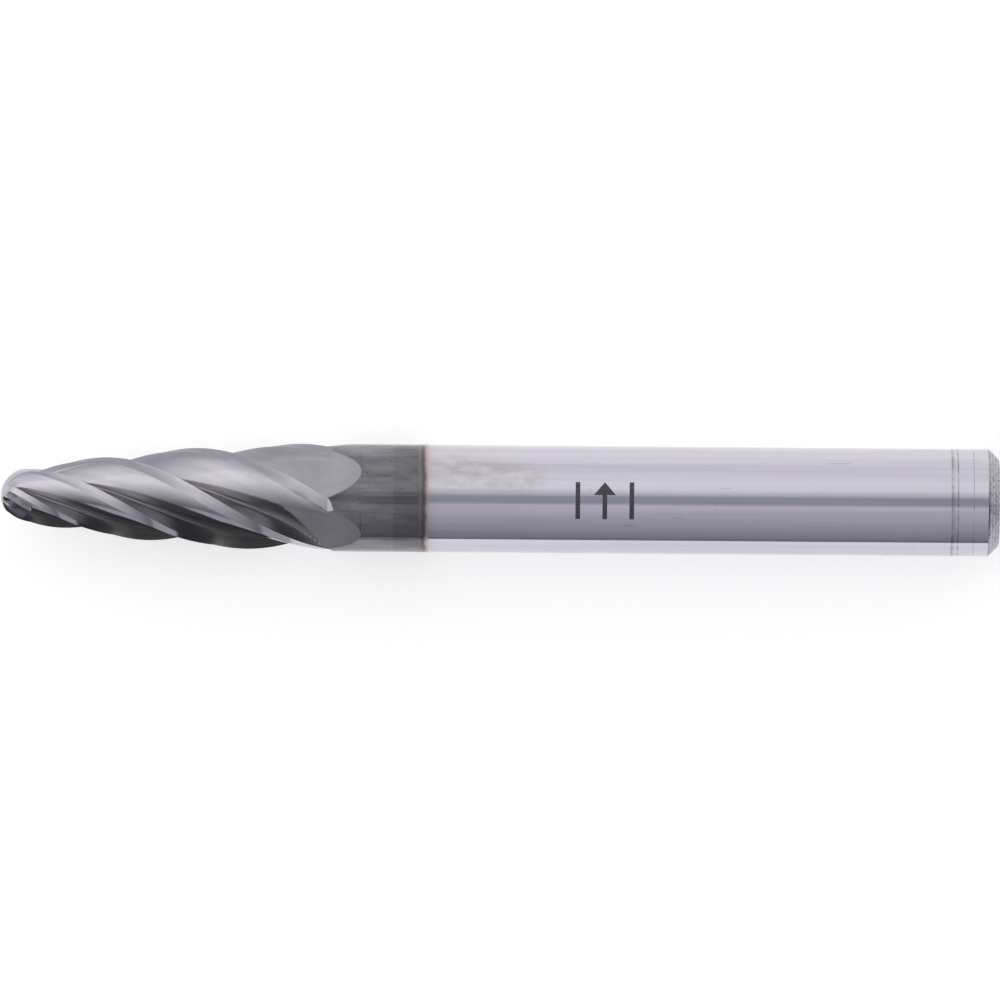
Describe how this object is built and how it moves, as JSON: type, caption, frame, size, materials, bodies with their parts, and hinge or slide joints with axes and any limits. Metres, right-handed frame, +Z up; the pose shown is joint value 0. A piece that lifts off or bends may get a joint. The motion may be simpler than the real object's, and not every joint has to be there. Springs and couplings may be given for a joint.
{
  "type": "end mill",
  "caption": "Tapered ball-nose end mill: a helical-fluted carbide head with a plain neck, brazed through a thin shim to a round steel shank with a chamfered end.",
  "frame": {"origin": "centre of the flat end face of the shank", "axes": "+X along the tool's axis, from the ball nose to the end of the shank; +Z up with the tool lying on its side; +Y completes the right-handed frame"},
  "size_m": [0.0557, 0.006, 0.006],
  "materials": {
    "carbide": "ground tungsten carbide, darker and heat-stained on the plain neck",
    "silver_solder": "ground flush silver solder, dull and slightly pink",
    "copper": "copper ground flush and oxidised brown",
    "shank_steel": "hardened steel, centreless ground, with fine scratches along its length"
  },
  "bodies": {
    "root": {"cutting_head": "carbide", "head_side_braze": "silver_solder", "copper_shim": "copper", "shank_side_braze": "silver_solder", "shank": "shank_steel"}
  },
  "joints": []
}
